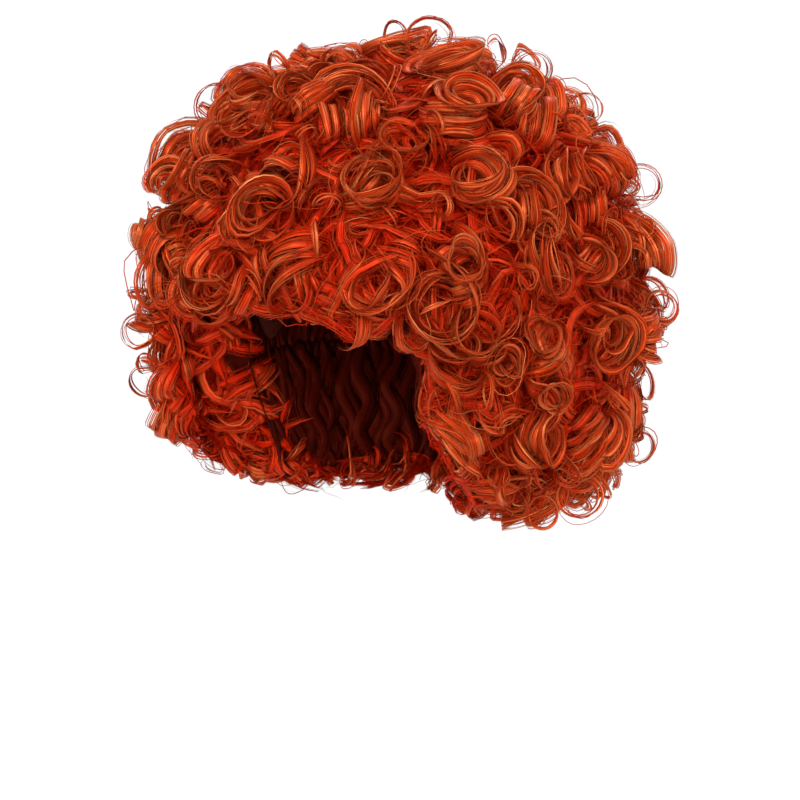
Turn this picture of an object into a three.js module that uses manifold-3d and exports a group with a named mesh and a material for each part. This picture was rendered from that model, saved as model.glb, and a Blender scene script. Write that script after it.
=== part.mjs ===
// A short curly wig: a stretch cap, and round it sections of spiral curls on mats of under-hair.
// Millimetres, +Z up, the face looks towards -Y and the wearer's left is +X.
// The origin is the point inside the cap that rests on the crown of the head.

import * as THREE from "three";
import { mergeVertices } from "three/addons/utils/BufferGeometryUtils.js";
import Module from "manifold-3d";

const { degToRad, lerp, smoothstep } = THREE.MathUtils;
const wasm = await Module();
wasm.setup();

// The head that the cap fits
const HEAD_WIDTH = 154;
const HEAD_LENGTH = 192;
const CROWN_DEPTH = 98; // from the crown down to the widest level
const NECK_WIDTH = 128; // of the hollow between the curls at the hem
const NECK_LENGTH = 136;

// The cap
const CAP_WALL = 1.5;
const CAP_CLEARANCE = 0.4; // between the cap and the mats over it
const FRONT_RIM_DROP = 66; // from the crown to the rim on the forehead
const NAPE_RIM_DROP = 150;

// The hair's outline, curls included
const HAIR_WIDTH = 294;
const HAIR_FRONT = 145; // from the crown's axis to the front
const HAIR_BACK = 152;
const HAIR_TOP = 50; // above the crown
const HAIR_HEM_DROP = 228; // from the crown down to the lowest curls
const HEM_LATITUDE = degToRad(143); // where the mats end under the widest level

// The curls
const CURL_PITCH = 51; // from curl to curl over the mats
const CURL_STAND = 20; // how far the curls stand out of the mats
const LOCK_WIDTH = 22; // of a lock at its root, along the curl's axis
const LOCK_THICKNESS = 12;
const LOCK_TIP_SHARE = 0.5; // of the root's size
const CURL_TURNS = 1.25;
const MAT_SEAM = { side: 0.4, row: 1.5 }; // between two sections' mats, beside and below each other
const CURL_SEAM = { side: 3, row: 3 }; // between two sections' curls

// How fine the faceted surfaces are
const TURN_STEP = degToRad(15);
const MAT_STEPS = 3; // down each mat
const CAP_STEPS = 6; // from the crown to the rim
const LOCK_SIDES = 4;
const LOCK_STEPS = 7;

const ROUND_UPPER = 2.2; // the outline's superellipse powers, over and under the widest level
const ROUND_LOWER = 3;

// The cap's rim from the middle of the forehead to the middle of the nape.
// Each drop is a share of the way from the front rim's level down to the nape's.
const RIM = [
  { place: "forehead", turn: 0, drop: 0 },
  { place: "temple", turn: 48, drop: 0.22 },
  { place: "ear tab", turn: 72, drop: 0.7 },
  { place: "over the ear", turn: 96, drop: 0.48 },
  { place: "behind the ear", turn: 126, drop: 0.72 },
  { place: "nape", turn: 180, drop: 1 },
];

const CROWN_HEM = 0.2; // the crown's share of the way down to the hem

// The sections of hair. Turns are degrees from the middle of the face to the wearer's left, and a section
// that starts left of the middle has a twin on the right. top and hem are shares of the way from the crown
// to the hem along the mats. from_hem is where a slanting front edge ends. Where an edge is free, curls may
// go past it by past_front or past_hem.
const SECTIONS = [
  { name: "forelock_curls", from: -45, to: 45, top: CROWN_HEM, hem: 0.47 },
  { name: "fringe_curls", from: -45, to: 45, top: 0.47, hem: 0.62, past_hem: 0.04 },
  { name: "temple_curls", from: 45, to: 105, top: CROWN_HEM, hem: 0.47 },
  { name: "side_curls", from: 45, to: 105, top: 0.47, hem: 0.73 },
  { name: "cheek_curls", from: 45, from_hem: 75, to: 105, top: 0.73, hem: 1, past_hem: 0.14, past_front: 18 },
  { name: "upper_back_curls", from: 105, to: 180, top: CROWN_HEM, hem: 0.47 },
  { name: "lower_back_curls", from: 105, to: 180, top: 0.47, hem: 0.73 },
  { name: "nape_curls", from: 105, to: 180, top: 0.73, hem: 1, past_hem: 0.14 },
];
const ROOM_DEPTH = 2; // how far out a section's room reaches, in thicknesses of its mat
const CAP_ROOM = 8; // how far the room that the mats leave for the cap goes in past the head's surface
const HANG = 0.8; // the part of the way past a free edge that the rows of curls take up

// How curls differ, taken in turn: how far the axis leans off the outward line, and which way it leans.
const CURL_POSES = [
  { lean: 24, spin: 0, hand: 1 },
  { lean: 66, spin: 200, hand: -1 },
  { lean: 42, spin: 75, hand: 1 },
  { lean: 78, spin: 300, hand: -1 },
  { lean: 30, spin: 140, hand: -1 },
];

// The mats follow the outline, inside the curls.
const MAT_HALF_WIDTH = HAIR_WIDTH / 2 - CURL_STAND;
const MAT_FRONT = HAIR_FRONT - CURL_STAND;
const MAT_BACK = HAIR_BACK - CURL_STAND;
const MAT_TOP = CROWN_DEPTH + HAIR_TOP - CURL_STAND;
const MAT_HEM_DROP = HAIR_HEM_DROP - CURL_STAND;
const CURL_ROOM = 1.1; // the share of its cell that a curl fills
const CURL_RISE = CURL_TURNS * LOCK_WIDTH; // along the curl's axis, so that its windings lie side by side

const NEAR = 1e-6; // shares that differ by less are the same
const WIDEST = Math.PI / 2;

// How far down a latitude lies under the widest level, from 0 to 1 at the outline's own bottom.
const lowShare = (latitude) => Math.max(0, -Math.cos(latitude)) ** (2 / ROUND_LOWER);
const LOW_REACH = (MAT_HEM_DROP - CROWN_DEPTH) / lowShare(HEM_LATITUDE);

// An ellipse's radius in the direction of a turn.
const reach = (turn, halfWidth, halfLength) =>
  1 / Math.hypot(Math.sin(turn) / halfWidth, Math.cos(turn) / halfLength);

// A point at a turn, a distance from the crown's axis and a height.
const around = (turn, radius, height) =>
  new THREE.Vector3(Math.sin(turn) * radius, -Math.cos(turn) * radius, height);

// The head, and under it the hollow for face and neck, grown by an offset.
function headPoint(turn, latitude, offset) {
  const skull = reach(turn, HEAD_WIDTH / 2 + offset, HEAD_LENGTH / 2 + offset);
  if (latitude <= WIDEST) {
    const height = (CROWN_DEPTH + offset) * Math.cos(latitude) - CROWN_DEPTH;
    return around(turn, skull * Math.sin(latitude), height);
  }
  const neck = reach(turn, NECK_WIDTH / 2 + offset, NECK_LENGTH / 2 + offset);
  const share = smoothstep(lowShare(latitude), 0, lowShare(HEM_LATITUDE));
  return around(turn, lerp(skull, neck, share), -CROWN_DEPTH - LOW_REACH * lowShare(latitude));
}

// The outer face of the mats.
function matPoint(turn, latitude) {
  const widest = reach(turn, MAT_HALF_WIDTH, Math.cos(turn) > 0 ? MAT_FRONT : MAT_BACK);
  if (latitude <= WIDEST) {
    const power = 2 / ROUND_UPPER;
    const height = MAT_TOP * Math.cos(latitude) ** power - CROWN_DEPTH;
    return around(turn, widest * Math.sin(latitude) ** power, height);
  }
  const radius = widest * Math.sin(latitude) ** (2 / ROUND_LOWER);
  return around(turn, radius, -CROWN_DEPTH - LOW_REACH * lowShare(latitude));
}

// The latitude at each share of the way down the side of the mats, by walking it.
const MERIDIAN = (() => {
  const steps = 400;
  const walked = [{ latitude: 0, length: 0 }];
  let last = matPoint(WIDEST, 0);
  for (let i = 1; i <= steps; i++) {
    const latitude = (HEM_LATITUDE * i) / steps;
    const next = matPoint(WIDEST, latitude);
    walked.push({ latitude, length: walked[i - 1].length + next.distanceTo(last) });
    last = next;
  }
  return walked;
})();
const MERIDIAN_LENGTH = MERIDIAN.at(-1).length;

function latitudeAt(share) {
  const length = Math.max(0, share) * MERIDIAN_LENGTH;
  const past = MERIDIAN.findIndex((m) => m.length >= length);
  const i = past < 0 ? MERIDIAN.length - 1 : Math.max(1, past);
  const [a, b] = [MERIDIAN[i - 1], MERIDIAN[i]];
  return lerp(a.latitude, b.latitude, (length - a.length) / (b.length - a.length));
}

// The latitude of the cap's rim at a turn.
function rimLatitude(turn) {
  const degrees = THREE.MathUtils.radToDeg(Math.acos(Math.cos(turn)));
  const i = Math.max(1, RIM.findIndex((r) => r.turn >= degrees - NEAR));
  const share = smoothstep(degrees, RIM[i - 1].turn, RIM[i].turn);
  const drop = lerp(FRONT_RIM_DROP, NAPE_RIM_DROP, lerp(RIM[i - 1].drop, RIM[i].drop, share));
  if (drop <= CROWN_DEPTH) return Math.acos(1 - drop / CROWN_DEPTH);
  return Math.acos(-(((drop - CROWN_DEPTH) / LOW_REACH) ** (ROUND_LOWER / 2)));
}

// Moves each vertex of a geometry to where a function puts it.
function reshape(geometry, place) {
  const at = geometry.getAttribute("position");
  for (let i = 0; i < at.count; i++) {
    const p = place(at.getX(i), at.getY(i), at.getZ(i));
    at.setXYZ(i, p.x, p.y, p.z);
  }
  return geometry;
}

// A closed geometry as a solid that can be joined and cut.
function solidOf(geometry) {
  geometry.deleteAttribute("normal");
  geometry.deleteAttribute("uv");
  const merged = mergeVertices(geometry, 1e-3);
  return new wasm.Manifold(
    new wasm.Mesh({
      numProp: 3,
      vertProperties: merged.attributes.position.array,
      triVerts: new Uint32Array(merged.index.array),
    }),
  );
}

// A solid as a named mesh.
function meshOf(name, solid, material) {
  const { vertProperties, triVerts } = solid.getMesh();
  const geometry = new THREE.BufferGeometry()
    .setAttribute("position", new THREE.BufferAttribute(vertProperties, 3))
    .setIndex(new THREE.BufferAttribute(triVerts, 1));
  geometry.computeVertexNormals();
  const mesh = new THREE.Mesh(geometry, material);
  mesh.name = name;
  return mesh;
}

// A dome round the crown's axis. It is a lathe's closed profile whose radius is read as the share of
// the way down and whose height as the depth through the wall, 0 inside and 1 outside.
function dome(steps, place) {
  const profile = [];
  for (let i = 0; i <= steps; i++) profile.push(new THREE.Vector2(i / steps, 0));
  for (let i = steps; i >= 0; i--) profile.push(new THREE.Vector2(i / steps, 1));
  const lathe = new THREE.LatheGeometry(profile, Math.round((2 * Math.PI) / TURN_STEP));
  return reshape(lathe, (x, depth, z) => {
    const share = Math.hypot(x, z);
    return place(share < NEAR ? 0 : Math.atan2(x, z), share, depth);
  });
}

// A wall round the head between two offsets, down to the cap's rim or past it by a length.
function capWall(inner, outer, pastRim) {
  const wall = dome(CAP_STEPS, (turn, share, depth) => {
    const latitude = share * (rimLatitude(turn) + pastRim / CROWN_DEPTH);
    return headPoint(turn, latitude, lerp(inner, outer, depth));
  });
  return solidOf(wall);
}

// A point of the hair: depth 0 lies on the head and depth 1 on the outer face of the mats. Sides that
// meet another section, marked -1 or 1, draw back by half a seam.
function hairPoint(turn, latitude, depth, turnSide, downSide, seam) {
  const inner = headPoint(turn, latitude, 0);
  const outer = matPoint(turn, latitude);
  const sideways = around(turn + Math.PI / 2, 1, 0);
  const down = sideways.clone().cross(outer.clone().sub(inner)).normalize();
  return inner
    .lerp(outer, depth)
    .addScaledVector(sideways, (-turnSide * seam.side) / 2)
    .addScaledVector(down, (-downSide * seam.row) / 2);
}

// Part of the hair between two depths: a box whose sides are read as turn, way up and depth.
function block(section, depth, seam) {
  const turns = Math.max(1, Math.round((section.to - section.from) / TURN_STEP));
  const box = new THREE.BoxGeometry(1, 1, 1, turns, MAT_STEPS, 1);
  const side = (coordinate) => (Math.abs(coordinate) < 0.5 - NEAR ? 0 : Math.sign(coordinate));
  const hair = reshape(box, (x, y, z) => {
    const down = 0.5 - y;
    const turn = lerp(lerp(section.from, section.from_hem, down), section.to, x + 0.5);
    const latitude = latitudeAt(lerp(section.top, section.hem, down));
    return hairPoint(turn, latitude, depth * (z + 0.5), side(x), side(-y), seam);
  });
  return solidOf(hair);
}

// The same for the crown, which goes all the way round.
function crownBlock(depth, seam) {
  const hair = dome(MAT_STEPS, (turn, share, inOut) =>
    hairPoint(turn, latitudeAt(share * CROWN_HEM), depth * inOut, 0, share > 1 - NEAR ? 1 : 0, seam),
  );
  return solidOf(hair);
}

// A section with a part of the way past its free edges.
const past = (section, part) => ({
  ...section,
  from: section.from - part * section.past_front,
  from_hem: section.from_hem - part * section.past_front,
  hem: section.hem + part * section.past_hem,
});

// A lock that winds up out of its mat round its own axis.
class CurlPath extends THREE.Curve {
  constructor(centre, axis, start, radius, hand) {
    super();
    Object.assign(this, { centre, axis, start, radius, hand });
    this.across = axis.clone().cross(start);
  }
  getPoint(share, target = new THREE.Vector3()) {
    const angle = this.hand * 2 * Math.PI * CURL_TURNS * share;
    return target
      .copy(this.centre)
      .addScaledVector(this.start, this.radius * Math.cos(angle))
      .addScaledVector(this.across, this.radius * Math.sin(angle))
      .addScaledVector(this.axis, CURL_RISE * (share - 0.5));
  }
}

// A tapered flat lock bent along a curl's path: a cylinder of unit height whose height is the way along.
function lock(path) {
  const rod = new THREE.CylinderGeometry(LOCK_TIP_SHARE / 2, 0.5, 1, LOCK_SIDES, LOCK_STEPS);
  return reshape(rod, (x, y, z) => {
    const share = y + 0.5;
    const along = path.getTangent(share);
    const wide = path.axis.clone().addScaledVector(along, -path.axis.dot(along)).normalize();
    const thick = wide.clone().cross(along);
    return path
      .getPoint(share)
      .addScaledVector(wide, x * LOCK_WIDTH)
      .addScaledVector(thick, z * LOCK_THICKNESS);
  });
}

// One curl in the middle of its cell, as large as the cell lets it be.
function curl(turn, share, cell, pose) {
  const latitude = latitudeAt(share);
  const foot = matPoint(turn, latitude);
  const sideways = around(turn + Math.PI / 2, 1, 0);
  const step = 0.01;
  const down = matPoint(turn, latitudeAt(share + step)).sub(matPoint(turn, latitudeAt(share - step)));
  const outward = share < step ? new THREE.Vector3(0, 0, 1) : down.clone().cross(sideways).normalize();
  const uphill = outward.clone().cross(sideways);

  const lean = degToRad(pose.lean);
  const spin = degToRad(pose.spin);
  const leaning = sideways.clone().multiplyScalar(Math.cos(spin)).addScaledVector(uphill, Math.sin(spin));
  const axis = outward.clone().multiplyScalar(Math.cos(lean)).addScaledVector(leaning, Math.sin(lean));
  const start = leaning.clone().multiplyScalar(Math.cos(lean)).addScaledVector(outward, -Math.sin(lean));

  const radius = (cell * CURL_ROOM - LOCK_THICKNESS) / 2;
  const shape = lock(new CurlPath(foot, axis, start, radius, pose.hand));
  const sunk = CURL_STAND - heightOver(shape, foot, outward);
  return solidOf(shape.translate(outward.x * sunk, outward.y * sunk, outward.z * sunk));
}

// How far a geometry rises over a point.
function heightOver(geometry, foot, outward) {
  const at = geometry.getAttribute("position");
  const p = new THREE.Vector3();
  let height = -Infinity;
  for (let i = 0; i < at.count; i++) {
    height = Math.max(height, p.fromBufferAttribute(at, i).sub(foot).dot(outward));
  }
  return height;
}

// Rows of curls over part of the hair, as many as fit at the curls' pitch.
function curls(section, firstPose) {
  const height = (section.hem - section.top) * MERIDIAN_LENGTH;
  const rows = Math.max(1, Math.round(height / CURL_PITCH));
  const made = [];
  for (let row = 0; row < rows; row++) {
    const down = (row + 0.5) / rows;
    const share = lerp(section.top, section.hem, down);
    const from = lerp(section.from, section.from_hem, down);
    const foot = matPoint((from + section.to) / 2, latitudeAt(share));
    const width = Math.hypot(foot.x, foot.y) * (section.to - from);
    const count = Math.max(1, Math.round(width / CURL_PITCH));
    const cell = Math.min(CURL_PITCH, width / count, height / rows);
    for (let i = 0; i < count; i++) {
      const turn = lerp(from, section.to, (i + 0.5) / count);
      made.push(curl(turn, share, cell, CURL_POSES[(firstPose + made.length) % CURL_POSES.length]));
    }
  }
  return made;
}

const capRoom = capWall(-CAP_ROOM, CAP_WALL + CAP_CLEARANCE, CAP_CLEARANCE);

// The largest body of a solid, without the slivers that a cut leaves beside it.
const largest = (solid) => solid.decompose().reduce((a, b) => (b.volume() > a.volume() ? b : a));

// A mat with its curls, cut off where another section's room begins.
const grown = (mat, hair, room) => mat.add(wasm.Manifold.union(hair).intersect(room));

function crown() {
  const ring = { from: -Math.PI, to: Math.PI, from_hem: -Math.PI, top: CROWN_HEM / 3, hem: CROWN_HEM };
  const hair = [curl(0, 0, CURL_PITCH, CURL_POSES[0]), ...curls(ring, 1)];
  const whole = grown(crownBlock(1, MAT_SEAM), hair, crownBlock(ROOM_DEPTH, CURL_SEAM));
  return largest(whole.subtract(capRoom));
}

function hairSection(section, firstPose) {
  const hair = curls(past(section, HANG), firstPose);
  const room = block(past(section, 1), ROOM_DEPTH, CURL_SEAM);
  const whole = grown(block(section, 1, MAT_SEAM), hair, room);
  const placed = section.mirrored ? whole.mirror([1, 0, 0]) : whole;
  return largest(placed.subtract(capRoom));
}

// The table's rows in radians, one for each section, with the pairs mirrored.
function sections() {
  return SECTIONS.flatMap((row) => {
    const section = {
      ...row,
      from: degToRad(row.from),
      from_hem: degToRad(row.from_hem ?? row.from),
      to: degToRad(row.to),
      past_front: degToRad(row.past_front ?? 0),
      past_hem: row.past_hem ?? 0,
    };
    if (row.from < 0) return [section];
    return [
      { ...section, name: row.name + "_left" },
      { ...section, name: row.name + "_right", mirrored: true },
    ];
  });
}

const hairMaterial = new THREE.MeshStandardMaterial({ color: 0xc2481a, roughness: 0.45, metalness: 0 });
const capMaterial = new THREE.MeshStandardMaterial({ color: 0x4a1c10, roughness: 0.9, metalness: 0 });

const wig = new THREE.Group();
wig.add(meshOf("cap", capWall(0, CAP_WALL, 0), capMaterial));
wig.add(meshOf("crown_curls", crown(), hairMaterial));
sections().forEach((section, i) => {
  wig.add(meshOf(section.name, hairSection(section, i), hairMaterial));
});

export default wig;
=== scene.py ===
"""Dresses a short curly wig: its cap, the under-hair, the ringlets and the loose hairs.

Metres, +Z up. The face looks towards -Y, the wearer's left is +X, and the origin is inside the cap
on the crown of the head. Turns are counted from the middle of the face towards the wearer's left, and
a share is the part of the way from the crown down to the hem.
"""

import math
from dataclasses import dataclass, fields, replace

import bmesh
import bpy
import numpy as np
from bpy.props import FloatProperty, FloatVectorProperty, IntProperty, PointerProperty
from bpy.types import Operator, Panel, PropertyGroup
from mathutils import Matrix, Vector


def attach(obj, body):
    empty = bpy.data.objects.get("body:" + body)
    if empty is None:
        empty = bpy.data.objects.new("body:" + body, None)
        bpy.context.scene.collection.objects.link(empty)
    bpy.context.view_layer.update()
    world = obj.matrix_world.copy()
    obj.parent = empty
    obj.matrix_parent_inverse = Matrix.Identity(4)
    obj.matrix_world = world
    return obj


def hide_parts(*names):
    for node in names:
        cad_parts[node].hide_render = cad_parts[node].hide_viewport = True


bl_info = {
    "name": "Curly Wig",
    "version": (1, 0, 0),
    "blender": (4, 5, 0),
    "location": "3D View > Sidebar > Wig",
    "description": "Dresses a short curly wig with its cap, under-hair, ringlets and loose hairs",
    "category": "Object",
}

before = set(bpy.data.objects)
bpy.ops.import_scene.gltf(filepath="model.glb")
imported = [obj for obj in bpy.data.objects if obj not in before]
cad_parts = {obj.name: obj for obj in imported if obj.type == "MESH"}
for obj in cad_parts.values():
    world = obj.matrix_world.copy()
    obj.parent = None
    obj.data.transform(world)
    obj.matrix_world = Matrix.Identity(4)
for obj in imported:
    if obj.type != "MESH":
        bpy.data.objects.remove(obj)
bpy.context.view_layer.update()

TAU = 2 * math.pi
WIDEST = math.pi / 2

# The head that the cap fits
HEAD_HALF_WIDTH = 0.077
HEAD_HALF_LENGTH = 0.096
CROWN_DEPTH = 0.098
NECK_HALF_WIDTH = 0.064
NECK_HALF_LENGTH = 0.068

# The cap, and its rim's turns in degrees with the drops as shares of the way from front rim to nape
CAP_WALL = 0.0015
FRONT_RIM_DROP = 0.066
NAPE_RIM_DROP = 0.150
RIM_TURNS = (0, 48, 72, 96, 126, 180)
RIM_DROPS = (0, 0.22, 0.7, 0.48, 0.72, 1)

# The hair's outline, curls included
HAIR_HALF_WIDTH = 0.147
HAIR_FRONT = 0.145
HAIR_BACK = 0.152
HAIR_TOP = 0.050
HAIR_HEM_DROP = 0.228
HEM_LATITUDE = math.radians(143)
LOWEST_LATITUDE = math.radians(174)
ROUND_UPPER = 2.2
ROUND_LOWER = 3
CURL_STAND = 0.020
CURL_PITCH = 0.051
LOCK_THICKNESS = 0.012

# The sections of hair, with their turns in degrees and their tops and hems as shares
CROWN_HEM = 0.2
SECTIONS = (
    {"name": "forelock_curls", "from": -45, "to": 45, "top": CROWN_HEM, "hem": 0.47},
    {"name": "fringe_curls", "from": -45, "to": 45, "top": 0.47, "hem": 0.62, "past_hem": 0.04},
    {"name": "temple_curls", "from": 45, "to": 105, "top": CROWN_HEM, "hem": 0.47},
    {"name": "side_curls", "from": 45, "to": 105, "top": 0.47, "hem": 0.73, "past_front": 0},
    {"name": "cheek_curls", "from": 45, "to": 105, "top": 0.73, "hem": 1, "past_front": 18, "past_hem": 0.14},
    {"name": "upper_back_curls", "from": 105, "to": 180, "top": CROWN_HEM, "hem": 0.47},
    {"name": "lower_back_curls", "from": 105, "to": 180, "top": 0.47, "hem": 0.73},
    {"name": "nape_curls", "from": 105, "to": 180, "top": 0.73, "hem": 1, "past_hem": 0.14},
)
CHEEK_FRONT_AT_HEM = 75
HANG = 0.8

# How the large curls differ, taken in turn: the axis's lean off the outward line, its direction, its hand.
# A large curl fills its cell a little more than once.
CURL_POSES = np.array([(24, 0, 1), (66, 200, -1), (42, 75, 1), (78, 300, -1), (30, 140, -1)])
CELL_FILLED = 1.1
HANDS = (-1.0, 1.0)

# The clearest rings, each with its section, turn in degrees, share, radius, and its axis's lean and direction
RINGS = (
    ("forelock_curls", -20, 0.403, 0.0169, 52, -8),
    ("forelock_curls", 3, 0.450, 0.0191, 34, -16),
    ("forelock_curls", 32, 0.410, 0.0152, 20, -73),
    ("forelock_curls", 20, 0.225, 0.0240, 46, -67),
    ("forelock_curls", -14, 0.215, 0.0135, 56, -31),
    ("fringe_curls", -30, 0.487, 0.0135, 60, 3),
    ("temple_curls_left", 71, 0.440, 0.0208, 35, -160),
    ("temple_curls_left", 104, 0.220, 0.0140, 62, -166),
    ("side_curls_left", 74, 0.485, 0.0112, 36, -172),
    ("side_curls_left", 48, 0.583, 0.0240, 11, 155),
    ("side_curls_left", 63, 0.682, 0.0124, 27, 157),
    ("cheek_curls_left", 76, 0.745, 0.0112, 41, 160),
    ("nape_curls_left", 113, 0.825, 0.0112, 70, 167),
)
RING_TOP = 1.12 * CURL_STAND

# The clearest loops on the outline, in the same way
LOOPS = (
    ("cheek_curls_left", 79, 0.93, 0.0095, 64, 138),
    ("cheek_curls_left", 92, 0.915, 0.0130, 68, 150),
    ("nape_curls_left", 123, 0.86, 0.0105, 85, 170),
    ("lower_back_curls_left", 125, 0.64, 0.0085, 85, 171),
    ("upper_back_curls_left", 128, 0.45, 0.0110, 85, 171),
    ("crown_curls", 177, 0.077, 0.0150, 85, 130),
    ("temple_curls_right", 57, 0.305, 0.0130, 85, 170),
    ("side_curls_right", 48, 0.68, 0.0110, 85, 171),
)
LOOP_TOP = 1.55 * CURL_STAND


class WigSizes(PropertyGroup):
    """What a maker of such wigs would choose about the curls."""

    ribbon_width: FloatProperty(
        name="Ribbon width", description="Width of one flat ribbon of fibres", default=0.0060, unit="LENGTH"
    )
    strand_width: FloatProperty(
        name="Strand width", description="Width of a loose strand", default=0.0006, unit="LENGTH"
    )
    filler_pitch: FloatProperty(
        name="Filler pitch", description="From one small curl to the next", default=0.0265, unit="LENGTH"
    )
    edge_pitch: FloatProperty(
        name="Edge pitch", description="Between curls on a free edge", default=0.0175, unit="LENGTH"
    )
    arc_pitch: FloatProperty(
        name="Arc pitch", description="From one open wave to the next", default=0.042, unit="LENGTH"
    )
    loose_pitch: FloatProperty(
        name="Loose pitch", description="From one loose loop to the next", default=0.035, unit="LENGTH"
    )
    undercoat_pitch: FloatProperty(
        name="Undercoat pitch", description="From one lower wave to the next", default=0.0125, unit="LENGTH"
    )
    fuzz_pitch: FloatProperty(
        name="Fuzz pitch", description="From one fine fibre to the next", default=0.0105, unit="LENGTH"
    )
    frizz: FloatProperty(
        name="Frizz", description="How far loose strands stray from their lock", default=0.0011, unit="LENGTH"
    )
    seed: IntProperty(name="Seed", description="Chooses another set of curls", default=7, min=0)


class WigColours(PropertyGroup):
    """The colours of the hair and the cap. The hair's colours by depth hold painted shade and painted
    scattered light, and its light colour a painted highlight.
    """

    # Painted shade: the hair next to the head and inside the wig is painted dark.
    inside: FloatVectorProperty(
        name="Inside",
        description="Hair next to the head",
        default=(0.09, 0.006, 0.002),
        subtype="COLOR",
        size=3,
    )
    # Painted shade and painted scattered light: hair deep in the mass is a saturated red that stands in for
    # red light scattered into its shade.
    deep: FloatVectorProperty(
        name="Deep",
        description="Hair far below the curls",
        default=(0.74, 0.012, 0.001),
        subtype="COLOR",
        size=3,
    )
    # Painted shade and painted scattered light, between the deep colour and the middle colour.
    dark: FloatVectorProperty(
        name="Dark",
        description="Hair under the outer curls",
        default=(0.55, 0.020, 0.002),
        subtype="COLOR",
        size=3,
    )
    middle: FloatVectorProperty(
        name="Middle", description="Most of the hair", default=(0.49, 0.035, 0.003), subtype="COLOR", size=3
    )
    # Lighter fibres on random streaks, also a painted highlight, shown only on the outer hair.
    light: FloatVectorProperty(
        name="Light", description="The lightest fibres", default=(0.64, 0.255, 0.088), subtype="COLOR", size=3
    )
    cap: FloatVectorProperty(
        name="Cap", description="The cap's knit", default=(0.045, 0.006, 0.003), subtype="COLOR", size=3
    )


class WigStage(PropertyGroup):
    """The camera and what stands round the wig."""

    azimuth: FloatProperty(
        name="Azimuth",
        description="Turn of the camera round the wig",
        default=math.radians(38),
        subtype="ANGLE",
    )
    elevation: FloatProperty(
        name="Elevation", description="Height of the camera", default=math.radians(9), subtype="ANGLE"
    )
    view_width: FloatProperty(
        name="View width", description="What the picture spans at the wig", default=0.449, unit="LENGTH"
    )
    floor_drop: FloatProperty(
        name="Floor drop", description="From the crown down to the floor", default=1.30, unit="LENGTH"
    )


def unit(vectors):
    return vectors / np.linalg.norm(vectors, axis=-1, keepdims=True)


def dot(a, b):
    return np.sum(a * b, axis=-1, keepdims=True)


def lerp(a, b, share):
    return a + (b - a) * share


def smoothstep(low, high, value):
    share = np.clip((value - low) / (high - low), 0, 1)
    return share * share * (3 - 2 * share)


def reach(turn, half_width, half_length):
    """An ellipse's radius in the direction of a turn."""
    return 1 / np.hypot(np.sin(turn) / half_width, np.cos(turn) / half_length)


def around(turn, radius, height):
    """Points at a turn, a distance from the crown's axis and a height."""
    radius = radius + 0 * turn
    return np.stack([np.sin(turn) * radius, -np.cos(turn) * radius, height + 0 * radius], axis=-1)


def low_share(latitude):
    return np.maximum(0, -np.cos(latitude)) ** (2 / ROUND_LOWER)


LOW_REACH = (HAIR_HEM_DROP - CURL_STAND - CROWN_DEPTH) / low_share(HEM_LATITUDE)


def head_point(turn, latitude, offset=0.0):
    """The head, and under it the hollow for face and neck, grown by an offset."""
    skull = reach(turn, HEAD_HALF_WIDTH + offset, HEAD_HALF_LENGTH + offset)
    neck = reach(turn, NECK_HALF_WIDTH + offset, NECK_HALF_LENGTH + offset)
    upper = latitude <= WIDEST
    narrowing = smoothstep(0, low_share(HEM_LATITUDE), low_share(latitude))
    radius = np.where(upper, skull * np.sin(latitude), lerp(skull, neck, narrowing))
    height = np.where(
        upper, (CROWN_DEPTH + offset) * np.cos(latitude), -LOW_REACH * low_share(latitude)
    )
    return around(turn, radius, height - CROWN_DEPTH)


def mat_point(turn, latitude):
    """The outer face of the under-hair, which lies inside the curls."""
    length = np.where(np.cos(turn) > 0, HAIR_FRONT, HAIR_BACK) - CURL_STAND
    widest = reach(turn, HAIR_HALF_WIDTH - CURL_STAND, length)
    upper = latitude <= WIDEST
    sine = np.sin(latitude)
    radius = widest * np.where(upper, sine ** (2 / ROUND_UPPER), sine ** (2 / ROUND_LOWER))
    top = CROWN_DEPTH + HAIR_TOP - CURL_STAND
    cosine = np.maximum(0, np.cos(latitude)) ** (2 / ROUND_UPPER)
    height = np.where(upper, top * cosine, -LOW_REACH * low_share(latitude))
    return around(turn, radius, height - CROWN_DEPTH)


def walk_meridian(steps=600):
    """The latitudes down the side of the under-hair, and how far down it each one lies."""
    latitudes = np.linspace(0, LOWEST_LATITUDE, steps)
    points = mat_point(np.full(steps, WIDEST), latitudes)
    lengths = np.linalg.norm(np.diff(points, axis=0), axis=1)
    return latitudes, np.concatenate([[0], np.cumsum(lengths)])


MERIDIAN_LATITUDES, MERIDIAN_LENGTHS = walk_meridian()
MERIDIAN_LENGTH = float(np.interp(HEM_LATITUDE, MERIDIAN_LATITUDES, MERIDIAN_LENGTHS))


def latitude_at(share):
    return np.interp(np.maximum(share, 0) * MERIDIAN_LENGTH, MERIDIAN_LENGTHS, MERIDIAN_LATITUDES)


def rim_latitude(turn):
    """The latitude of the cap's rim at a turn."""
    degrees = np.degrees(np.arccos(np.clip(np.cos(turn), -1, 1)))
    after = np.clip(np.searchsorted(RIM_TURNS, degrees), 1, len(RIM_TURNS) - 1)
    turns, drops = np.array(RIM_TURNS), np.array(RIM_DROPS)
    share = smoothstep(turns[after - 1], turns[after], degrees)
    drop = lerp(FRONT_RIM_DROP, NAPE_RIM_DROP, lerp(drops[after - 1], drops[after], share))
    upper = np.arccos(np.clip(1 - drop / CROWN_DEPTH, -1, 1))
    lower_share = np.maximum(0, (drop - CROWN_DEPTH) / LOW_REACH) ** (ROUND_LOWER / 2)
    return np.where(drop <= CROWN_DEPTH, upper, np.arccos(-np.clip(lower_share, 0, 1)))


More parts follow.
